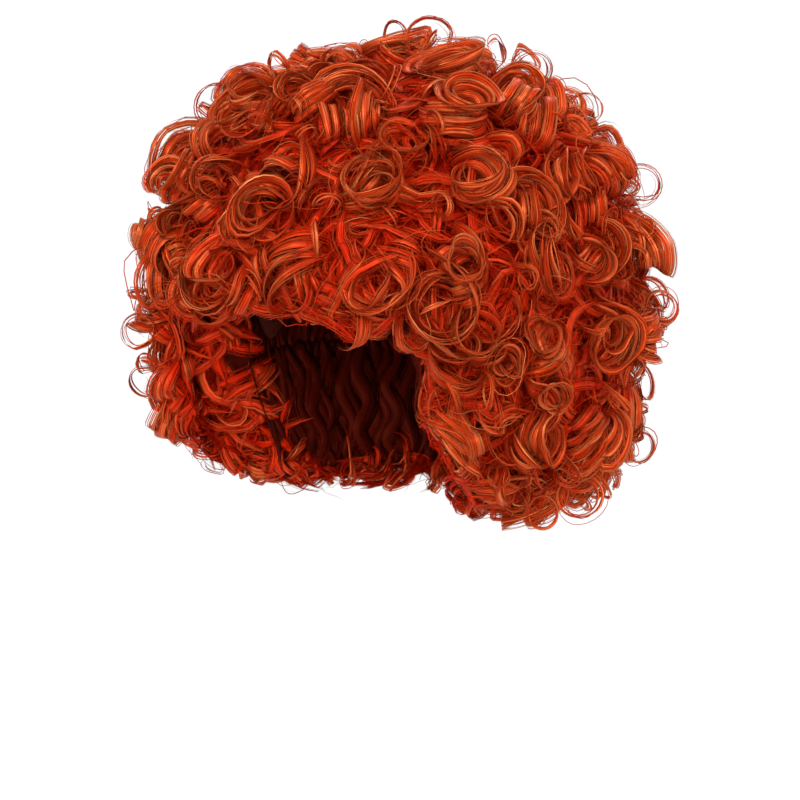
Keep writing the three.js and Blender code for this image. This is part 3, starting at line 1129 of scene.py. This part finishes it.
def fibres(section, kind, places, sizes, rng):
    """Loose hairs that lie at the given places of a section."""
    foot, outward, uphill = places
    count = len(foot)
    sideways = np.cross(uphill, outward)
    heading = flow(foot) + rng.normal(0, kind.disorder, count)
    along = sideways * np.cos(heading)[:, None] + uphill * np.sin(heading)[:, None]
    beside = np.cross(outward, along)
    place = np.linspace(-0.5, 0.5, kind.steps)[None, :]
    length = rng.uniform(*kind.length, count)[:, None]
    bend = rng.normal(0, FIBRE_BEND, count)[:, None]
    lift = np.where(rng.uniform(0, 1, count) < kind.flyaways, rng.uniform(*FLYAWAY_LIFT, count), 0)
    height = (rng.uniform(*kind.height, count) + lift)[:, None]
    height = height + rng.uniform(*kind.arch, count)[:, None] * length * (0.25 - place**2)
    path = foot[:, None, :] + along[:, None, :] * (length * place)[..., None]
    path = path + beside[:, None, :] * (bend * length * place**2)[..., None]
    path = path + outward[:, None, :] * height[..., None]
    path = path + strays(np.full(count, FIBRE_FRIZZ * sizes.frizz), place + 0.5, rng)
    path = trimmed(path, section.name, rng)
    broad = np.broadcast_to(beside[:, None, :], path.shape)
    path, broad = on_side(section, path, broad)
    widths = rng.uniform(*kind.width, count)
    tone = rng.uniform(*FIBRE_TONES, count)
    return tubes(path, broad, depth_of(height), widths, kind.sides, kind.profile, tone, rng)


def show(mesh, name, material, node):
    """A mesh as a piece that stands for a node of the part."""
    piece = bpy.data.objects.new(name, mesh)
    bpy.context.scene.collection.objects.link(piece)
    piece.data.materials.append(material)
    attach(piece, "root")
    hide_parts(node)
    return piece


CROWN_RING_TOP = CROWN_HEM / 3
CROWN_LOCKS_TOP = 0.02


def crown_ring():
    """The crown as one section all round, under its middle curl."""
    return Section(
        name="crown_curls",
        start=-math.pi,
        start_at_hem=-math.pi,
        end=math.pi,
        top=CROWN_RING_TOP,
        hem=CROWN_HEM,
        past_front=0,
        past_hem=0,
        has_front=False,
        mirrored=False,
        first_pose=1,
    )


def crown_middle():
    """The one large curl on the very top."""
    lean, spin, hand = CURL_POSES[0]
    one = np.ones(1)
    radius = (CURL_PITCH * CELL_FILLED - LOCK_THICKNESS) / 2
    return curls_at(0 * one, 0 * one, radius * one, lean * one, spin * one, hand * one, CURL_STAND * one)


# The cap hides the inside of the sections that end above this share
CAP_HIDES = 0.5

# The wavy locks down the inside: how far they lie off the head, and how they waver
INNER_OFFSETS = (0.0022, 0.0038)
INNER_STEPS = 22
INNER_END = 0.94
INNER_WAVE = 0.05
# A depth below the deepest hair, which paints the inner locks in the inside colour: painted shade
INNER_SHADE_DEPTH = -1.2
INNER_PAST_FRONT = 0.03
INNER_PITCH = 0.008
INNER_WIDTHS = (0.008, 0.018)


def inner_locks(section, rng):
    """Wavy locks down the inside of a section, which the open face shows, painted dark as shade inside the
    wig.
    """
    widest = mat_point(np.array((section.start + section.end) / 2), np.array(WIDEST))
    width = math.hypot(widest[0], widest[1]) * (section.end - section.start)
    count = max(3, round(width / INNER_PITCH))
    place = (np.arange(count)[:, None] + rng.uniform(0, 1, (count, 1))) / count
    down = np.linspace(0, INNER_END if section.past_hem else 1, INNER_STEPS)[None, :]
    turn = lerp(section.front(down) - INNER_PAST_FRONT, section.end, place)
    waves = rng.uniform(1.0, 2.6, (count, 1)) * (section.hem - section.top) / 0.26
    turn = turn + INNER_WAVE * np.sin(TAU * (waves * down + rng.uniform(0, 1, (count, 1))))
    latitude = latitude_at(lerp(section.top, section.hem, down) + 0 * turn)
    offset = rng.uniform(*INNER_OFFSETS, (count, 1)) + 0 * turn
    path = np.stack([head_point(a, b, c) for a, b, c in zip(turn, latitude, offset)])
    path = trimmed(path, section.name, rng)
    broad = around(turn + WIDEST, 1.0, 0.0)
    path, broad = on_side(section, path, broad)
    widths = rng.uniform(*INNER_WIDTHS, count)
    # Painted shade: the inner locks take the dark inside colour
    depth = np.full(turn.shape, INNER_SHADE_DEPTH)
    return tubes(path, broad, depth, widths, RIBBON_SIDES, INNER, rng.uniform(0, 1, count), rng)


def section_tubes(section, large, sizes, rng):
    """Everything that grows on a section, as tubes."""
    groups = [
        (large, LARGE),
        (filler_curls(section, large, sizes, rng), FILLER),
        (random_curls(section, sizes.arc_pitch, ARC_LIMITS, rng), ARC),
        (random_curls(section, sizes.loose_pitch, LOOSE_LIMITS, rng), LOOSE),
    ]
    groups.extend((group, EDGE) for group in edge_curls(section, sizes, rng))
    groups.extend((group, RING) for group in placed_curls(section, RINGS, RING_TOP))
    groups.extend((group, LOOP) for group in placed_curls(section, LOOPS, LOOP_TOP))
    parts = []
    for curls, style in groups:
        parts.extend(ribbons_and_strands(curls, style, sizes, rng, section))
    under = [spread_places(section, sizes.undercoat_pitch, rng)]
    under.extend(free_faces(section, sizes.undercoat_pitch, rng))
    parts.extend(fibres(section, UNDERCOAT, places, sizes, rng) for places in under)
    parts.append(fibres(section, FUZZ, spread_places(section, sizes.fuzz_pitch, rng), sizes, rng))
    if section.hem > CAP_HIDES:
        parts.append(inner_locks(section, rng))
    return parts


def grow(section, large, material, sizes, rng):
    """One section's ribbons, strands and fuzz as one piece."""
    name = section.name + "_locks"
    show(mesh_of(name, section_tubes(section, large, sizes, rng)), name, material, section.name)


# How far out the mats reach, as a part of the way to the curls' feet
MAT_SHARE = 0.8

# How far the mats stop short of the free edges, and how far they lie off the head
MAT_INSET_TURN = math.radians(6)
MAT_INSET_SHARE = 0.035
MAT_OFFSET = 0.004


def under_hair(section, material):
    """The mat that a section's curls grow from: a block bent to its part of the hair."""
    start = section.front(0.0) + (MAT_INSET_TURN if section.has_front else 0)
    start_at_hem = section.front(1.0) + (MAT_INSET_TURN if section.has_front else 0)
    hem = section.hem - (MAT_INSET_SHARE if section.past_hem else 0)
    bm = bmesh.new()
    bmesh.ops.create_cube(bm, size=1)
    bmesh.ops.subdivide_edges(bm, edges=bm.edges[:], cuts=9, use_grid_fill=True)
    outward = bm.verts.layers.float.new("outward")
    for vert in bm.verts:
        x, y, z = vert.co
        vert[outward] = z + 0.5
        down = 0.5 - y
        turn = np.array(lerp(lerp(start, start_at_hem, down), section.end, x + 0.5))
        latitude = latitude_at(np.array(lerp(section.top, hem, down)))
        inner, outer = head_point(turn, latitude, MAT_OFFSET), mat_point(turn, latitude)
        place = lerp(inner, outer, (z + 0.5) * MAT_SHARE)
        vert.co = on_side(section, place)[0]
    return finished(bm, section.name, material)


def crown_under_hair(material):
    bm = bmesh.new()
    bmesh.ops.create_uvsphere(bm, u_segments=48, v_segments=12, radius=1)
    outward = bm.verts.layers.float.new("outward")
    for vert in bm.verts:
        vert[outward] = float(vert.co.z > 0)
        share = math.hypot(vert.co.x, vert.co.y)
        turn = np.array(math.atan2(vert.co.x, -vert.co.y))
        latitude = latitude_at(np.array(share * CROWN_HEM))
        inner, outer = head_point(turn, latitude, MAT_OFFSET), mat_point(turn, latitude)
        vert.co = lerp(inner, outer, MAT_SHARE if vert.co.z > 0 else 0.0)
    return finished(bm, "crown_curls", material)


def mesh_from(bm, name):
    """The finished mesh of a bmesh, with its faces pointing outwards and smooth."""
    bmesh.ops.recalc_face_normals(bm, faces=bm.faces[:])
    mesh = bpy.data.meshes.new(name)
    bm.to_mesh(mesh)
    bm.free()
    mesh.polygons.foreach_set("use_smooth", np.ones(len(mesh.polygons), bool))
    return mesh


def finished(bm, node, material):
    """A mat's mesh as a piece."""
    name = node + "_mat"
    return show(mesh_from(bm, name), name, material, node)


CAP_SEGMENTS = 96
CAP_RINGS = 48
UNDER_EQUATOR = -1e-4


def cap_mesh():
    """The cap as a smooth thin wall, open below its rim."""
    bm = bmesh.new()
    bmesh.ops.create_uvsphere(bm, u_segments=CAP_SEGMENTS, v_segments=CAP_RINGS, radius=1)
    lower = [v for v in bm.verts if v.co.z < UNDER_EQUATOR]
    bmesh.ops.delete(bm, geom=lower, context="VERTS")
    for vert in bm.verts:
        turn = np.array(math.atan2(vert.co.x, -vert.co.y))
        share = math.acos(min(1, max(0, vert.co.z))) / WIDEST
        vert.co = head_point(turn, share * rim_latitude(turn), 0.0)
    bmesh.ops.recalc_face_normals(bm, faces=bm.faces[:])
    bmesh.ops.solidify(bm, geom=bm.faces[:], thickness=-CAP_WALL)
    return mesh_from(bm, "cap_shell")


# The sockets of a Mix node that mixes colours
MIX_FACTOR, MIX_A, MIX_B = 0, 6, 7
MIX_RESULT = 2


class NodeTree:
    """A new material and short ways to add and join its nodes."""

    def __init__(self, name):
        self.material = bpy.data.materials.new(name)
        self.material.use_nodes = True
        self.nodes = self.material.node_tree.nodes
        self.links = self.material.node_tree.links
        self.shader = self.nodes["Principled BSDF"]

    def add(self, kind, **settings):
        node = self.nodes.new(kind)
        for key, value in settings.items():
            setattr(node, key, value)
        return node

    def join(self, output, socket):
        self.links.new(output, socket)

    def math(self, operation, a, b=0.0):
        node = self.add("ShaderNodeMath", operation=operation)
        for socket, value in zip(node.inputs, (a, b)):
            if isinstance(value, bpy.types.NodeSocket):
                self.join(value, socket)
            else:
                socket.default_value = value
        return node.outputs[0]

    def set(self, **values):
        """Constants on the shader's sockets, with spaces in their names as underscores."""
        for name, value in values.items():
            self.shader.inputs[name.replace("_", " ")].default_value = value

    def noise(self, vector, scale, detail=2.0, distortion=0.0, dimensions="3D"):
        node = self.add("ShaderNodeTexNoise", noise_dimensions=dimensions)
        node.inputs["Scale"].default_value = scale
        node.inputs["Detail"].default_value = detail
        node.inputs["Distortion"].default_value = distortion
        self.join(vector, node.inputs["Vector"])
        return node.outputs["Fac"]

    def bump(self, height, strength, distance):
        node = self.add("ShaderNodeBump")
        node.inputs["Strength"].default_value = strength
        node.inputs["Distance"].default_value = distance
        self.join(height, node.inputs["Height"])
        self.join(node.outputs["Normal"], self.shader.inputs["Normal"])

    def mix(self, blend, factor, a, b):
        node = self.add("ShaderNodeMix", data_type="RGBA", blend_type=blend)
        self.join(factor, node.inputs[MIX_FACTOR])
        self.join(a, node.inputs[MIX_A])
        node.inputs[MIX_B].default_value = (*b, 1)
        return node.outputs[MIX_RESULT]

    def ramp(self, factor, stops):
        node = self.add("ShaderNodeValToRGB")
        elements = node.color_ramp.elements
        while len(elements) < len(stops):
            elements.new(0.5)
        for element, (position, colour) in zip(elements, stops):
            element.position = position
            element.color = (*colour, 1)
        self.join(factor, node.inputs["Fac"])
        return node.outputs["Color"]


def fibre_streaks(tree, along, across, detail):
    """Noise drawn out along the fibres."""
    uv = tree.add("ShaderNodeUVMap", uv_map="along_fibres").outputs["UV"]
    mapping = tree.add("ShaderNodeMapping")
    mapping.inputs["Scale"].default_value = (along, across, 1)
    tree.join(uv, mapping.inputs["Vector"])
    return tree.noise(mapping.outputs["Vector"], 1, detail, dimensions="2D")


# The streaks along a ribbon, as their spread along it and across it, and their detail
FINE_STREAKS = (0.02, 1.9, 2)
BROAD_STREAKS = (0.012, 0.7, 2)
FINE_WEIGHT = 1.1
BROAD_WEIGHT = 0.7

# Where a ribbon parts into fibres: at which streaks, how much sooner at its edges, how sharply
PARTS_BELOW = 0.37
PARTS_AT_EDGES = 0.22
PARTS_SHARPLY = 18.0

# What a place on the colour ramp is made of, and the part of the ramp that is in use. Its depth part is
# painted shade and painted scattered light.
SHADE_OF_DEPTH = 0.50
SHADE_OF_TONE = 0.18
SHADE_OF_STREAK = 0.3
SHADE_SPAN = 0.75
SHADE_FROM = 0.25

# Dark streaks: how many there are, how strong they get and their tint
DARK_STREAKS = 0.45
DARK_STRENGTH = 2.2
DARK_TINT = (0.72, 0.45, 0.35)

# Light fibres, also a painted highlight on the outer hair: from which streak on, and how fast they come in
LIGHT_FROM = 0.04
LIGHT_STRENGTH = 3.0

# The sheen, on all hair and more of it on the light fibres
SHEEN = 0.22
SHEEN_OF_LIGHT = 0.55


def hair_alpha(tree, fine, broad):
    """Solid on the fibres and clear between them, most of all at a ribbon's edges and tips."""
    parting = tree.add("ShaderNodeAttribute", attribute_name="parting").outputs["Fac"]
    fibres_here = tree.math("ADD", tree.math("MULTIPLY", fine, 0.5), tree.math("MULTIPLY", broad, 0.5))
    kept = tree.math("SUBTRACT", fibres_here, tree.math("MULTIPLY", parting, PARTS_AT_EDGES))
    kept = tree.math("MULTIPLY", tree.math("SUBTRACT", kept, PARTS_BELOW), PARTS_SHARPLY)
    return tree.math("MINIMUM", tree.math("MAXIMUM", kept, 0.0), 1.0)


def hair_shade(tree, depth, streak):
    """The place on the colour ramp: higher for outer hair, which paints shade and scattered red light by
    depth, and higher for a light lock and on a streak.
    """
    tone = tree.add("ShaderNodeAttribute", attribute_name="tone").outputs["Fac"]
    own = tree.math("MULTIPLY", tone, SHADE_OF_TONE)
    factor = tree.math("ADD", tree.math("MULTIPLY", depth, SHADE_OF_DEPTH), own)
    factor = tree.math("ADD", factor, tree.math("MULTIPLY", streak, SHADE_OF_STREAK))
    return tree.math("ADD", tree.math("MULTIPLY", factor, SHADE_SPAN), SHADE_FROM)


def light_fibres_and_painted_highlight(tree, depth, streak):
    """How much of the light colour shows: lighter fibres on the streaks, painted as a highlight on the outer
    hair only.
    """
    above = tree.math("SUBTRACT", streak, LIGHT_FROM)
    high = tree.math("MAXIMUM", tree.math("MULTIPLY", above, LIGHT_STRENGTH), 0.0)
    return tree.math("MINIMUM", tree.math("MULTIPLY", high, depth), 1.0)


def hair_material(colours):
    """Red hair with a sheen, streaked along its fibres, with painted shade and painted scattered red light:
    darker and redder inwards, and a painted highlight on the outer hair's light fibres.
    """
    tree = NodeTree("curled_fibre")
    depth = tree.add("ShaderNodeAttribute", attribute_name="depth").outputs["Fac"]
    fine = fibre_streaks(tree, *FINE_STREAKS)
    broad = fibre_streaks(tree, *BROAD_STREAKS)
    streak = tree.math("MULTIPLY", tree.math("SUBTRACT", fine, 0.5), FINE_WEIGHT)
    broad_part = tree.math("MULTIPLY", tree.math("SUBTRACT", broad, 0.5), BROAD_WEIGHT)
    streak = tree.math("ADD", streak, broad_part)
    tree.join(hair_alpha(tree, fine, broad), tree.shader.inputs["Alpha"])
    # The ramp by depth is painted shade and painted scattered light: the inside colour next to the head,
    # saturated red deep in the hair, orange outwards.
    stops = (
        (0.02, colours.inside),
        (0.12, colours.deep),
        (0.44, colours.dark),
        (0.66, colours.middle),
    )
    colour = tree.ramp(hair_shade(tree, depth, streak), stops)
    low = tree.math("SUBTRACT", DARK_STREAKS, tree.math("MULTIPLY", streak, DARK_STRENGTH))
    colour = tree.mix("MULTIPLY", low, colour, DARK_TINT)
    # Painted highlight: the light colour on the high streaks of the outer hair.
    high = light_fibres_and_painted_highlight(tree, depth, streak)
    colour = tree.mix("MIX", high, colour, colours.light)
    sheen = tree.math("MULTIPLY", tree.math("MAXIMUM", high, 0.0), SHEEN_OF_LIGHT)
    tree.join(tree.math("ADD", sheen, SHEEN), tree.shader.inputs["Metallic"])
    tree.join(colour, tree.shader.inputs["Base Color"])
    tree.set(Roughness=0.38, Specular_IOR_Level=0.06, Specular_Tint=(1.0, 0.60, 0.40, 1))
    tree.set(Anisotropic=0.75, Anisotropic_Rotation=0.25)
    tangent = tree.add("ShaderNodeTangent", direction_type="UV_MAP", uv_map="along_fibres")
    tree.join(tangent.outputs["Tangent"], tree.shader.inputs["Tangent"])
    tree.bump(tree.math("ADD", fine, broad), strength=0.5, distance=0.0004)
    return tree.material


def mat_material(colours):
    """Tangled hair for what the curls grow from, in painted shade: the dark inside colour on its inner face,
    mottled towards the deep colour on its outer face.
    """
    tree = NodeTree("tangled_fibre")
    coordinates = tree.add("ShaderNodeTexCoord").outputs["Object"]
    height = tree.noise(coordinates, scale=110, detail=4, distortion=9)
    outward = tree.add("ShaderNodeAttribute", attribute_name="outward").outputs["Fac"]
    factor = tree.math("MULTIPLY", outward, tree.math("ADD", height, 0.35))
    # Painted shade: the mat's inner face is dark, and its outer face runs by noise towards the deep red.
    stops = ((0.3, colours.inside), (1.0, colours.deep))
    tree.join(tree.ramp(factor, stops), tree.shader.inputs["Base Color"])
    tree.set(Roughness=0.9, Specular_IOR_Level=0.05)
    tree.bump(height, strength=1.0, distance=0.002)
    return tree.material


def cap_material(colours):
    tree = NodeTree("stretch_knit")
    coordinates = tree.add("ShaderNodeTexCoord").outputs["Object"]
    yarn = tree.noise(coordinates, scale=900)
    cells = tree.add("ShaderNodeTexVoronoi")
    cells.inputs["Scale"].default_value = 520
    tree.join(coordinates, cells.inputs["Vector"])
    light = tuple(1.6 * c for c in colours.cap)
    factor = tree.math("ADD", tree.math("MULTIPLY", yarn, 0.5), cells.outputs["Distance"])
    tree.join(tree.ramp(factor, ((0.2, colours.cap), (0.9, light))), tree.shader.inputs["Base Color"])
    tree.set(Roughness=0.85, Specular_IOR_Level=0.08)
    tree.bump(cells.outputs["Distance"], strength=0.6, distance=0.0005)
    return tree.material


def floor_material():
    tree = NodeTree("pale_floor")
    tree.set(Base_Color=(0.70, 0.70, 0.70, 1), Roughness=0.9)
    return tree.material


class WIG_OT_cap(Operator):
    """Makes the stretch cap"""

    bl_idname = "wig.cap"
    bl_label = "Make Cap"

    def execute(self, context):
        show(cap_mesh(), "cap_shell", cap_material(context.scene.wig_colours), "cap")
        return {"FINISHED"}


class WIG_OT_under_hair(Operator):
    """Makes the mat of tangled hair that each section's curls grow from"""

    bl_idname = "wig.under_hair"
    bl_label = "Make Under-Hair"

    def execute(self, context):
        material = mat_material(context.scene.wig_colours)
        crown_under_hair(material)
        for section in all_sections():
            under_hair(section, material)
        return {"FINISHED"}


class WIG_OT_curls(Operator):
    """Makes every section's ringlets, waves and loose strands"""

    bl_idname = "wig.curls"
    bl_label = "Make Curls"

    def execute(self, context):
        sizes = context.scene.wig_sizes
        material = hair_material(context.scene.wig_colours)
        rng = np.random.default_rng(sizes.seed)
        ring = crown_ring()
        large = joined([crown_middle(), large_curls(ring)])
        grow(replace(ring, top=CROWN_LOCKS_TOP), large, material, sizes, rng)
        for section in all_sections():
            grow(section, large_curls(section), material, sizes, rng)
        return {"FINISHED"}


class WIG_OT_stage(Operator):
    """Sets up the floor, the lights and the camera"""

    bl_idname = "wig.stage"
    bl_label = "Make Stage"

    def execute(self, context):
        stage = context.scene.wig_stage
        make_floor(stage)
        make_lights()
        make_world(context.scene)
        context.scene.camera = make_camera(stage)
        context.scene.view_settings.view_transform = "Standard"
        return {"FINISHED"}


FLOOR_SIZE = 60.0

# Each light's name, kind, place and power, with its angle in degrees or its size in metres
LIGHTS = (
    ("key_light", "SUN", (0.14, -1.15, 0.95), 1.45, 20),
    ("fill_light", "SUN", (0.89, -1.14, 0.36), 1.25, 30),
    ("side_light", "AREA", (2.0, 0.4, 0.8), 14, 1.0),
    ("back_light", "AREA", (-1.0, 1.9, 1.4), 14, 1.0),
)
LIGHTS_AIM = (0, 0, -0.09)
WORLD_POWER = 1.02


def make_floor(stage):
    bm = bmesh.new()
    corner = Matrix.Translation((0, 0, -stage.floor_drop))
    bmesh.ops.create_grid(bm, x_segments=1, y_segments=1, size=FLOOR_SIZE / 2, matrix=corner)
    mesh = bpy.data.meshes.new("floor")
    bm.to_mesh(mesh)
    bm.free()
    mesh.materials.append(floor_material())
    floor = bpy.data.objects.new("floor", mesh)
    bpy.context.scene.collection.objects.link(floor)


def looking_at(obj, place, target):
    obj.location = place
    obj.rotation_euler = (Vector(target) - Vector(place)).to_track_quat("-Z", "Y").to_euler()


def make_light(name, kind, place, power):
    light = bpy.data.lights.new(name, kind)
    light.energy = power
    obj = bpy.data.objects.new(name, light)
    bpy.context.scene.collection.objects.link(obj)
    looking_at(obj, place, LIGHTS_AIM)
    return light


def make_lights():
    for name, kind, place, power, extent in LIGHTS:
        light = make_light(name, kind, place, power)
        if kind == "SUN":
            light.angle = math.radians(extent)
        else:
            light.size = extent


def make_world(scene):
    world = bpy.data.worlds.new("studio")
    world.use_nodes = True
    background = world.node_tree.nodes["Background"]
    background.inputs["Color"].default_value = (1, 1, 1, 1)
    background.inputs["Strength"].default_value = WORLD_POWER
    scene.world = world


CAMERA_DISTANCE = 2.2
SENSOR_WIDTH = 36.0
AIM_RIGHT = 0.0017
AIM_DOWN = 0.1545


def make_camera(stage):
    azimuth, elevation = stage.azimuth, stage.elevation
    right = Vector((math.cos(azimuth), math.sin(azimuth), 0))
    back = Vector(
        (
            math.sin(azimuth) * math.cos(elevation),
            -math.cos(azimuth) * math.cos(elevation),
            math.sin(elevation),
        )
    )
    up = back.cross(right)
    target = right * AIM_RIGHT - up * AIM_DOWN
    data = bpy.data.cameras.new("camera")
    data.sensor_width = SENSOR_WIDTH
    data.lens = SENSOR_WIDTH * CAMERA_DISTANCE / stage.view_width
    camera = bpy.data.objects.new("camera", data)
    bpy.context.scene.collection.objects.link(camera)
    looking_at(camera, target + back * CAMERA_DISTANCE, target)
    return camera


class WIG_PT_panel(Panel):
    """Lists the steps that dress the wig"""

    bl_label = "Curly Wig"
    bl_idname = "WIG_PT_panel"
    bl_space_type = "VIEW_3D"
    bl_region_type = "UI"
    bl_category = "Wig"

    def draw(self, context):
        layout = self.layout
        scene = context.scene
        for group in (scene.wig_sizes, scene.wig_colours, scene.wig_stage):
            for name in group.__annotations__:
                layout.prop(group, name)
        for operator in OPERATORS:
            layout.operator(operator.bl_idname)


OPERATORS = (WIG_OT_stage, WIG_OT_cap, WIG_OT_under_hair, WIG_OT_curls)
CLASSES = (WigSizes, WigColours, WigStage, *OPERATORS, WIG_PT_panel)


def register():
    for cls in CLASSES:
        bpy.utils.register_class(cls)
    bpy.types.Scene.wig_sizes = PointerProperty(type=WigSizes)
    bpy.types.Scene.wig_colours = PointerProperty(type=WigColours)
    bpy.types.Scene.wig_stage = PointerProperty(type=WigStage)


def unregister():
    del bpy.types.Scene.wig_stage
    del bpy.types.Scene.wig_colours
    del bpy.types.Scene.wig_sizes
    for cls in reversed(CLASSES):
        bpy.utils.unregister_class(cls)


def main():
    register()
    bpy.ops.wig.stage()
    bpy.ops.wig.cap()
    bpy.ops.wig.under_hair()
    bpy.ops.wig.curls()


if __name__ == "__main__":
    main()
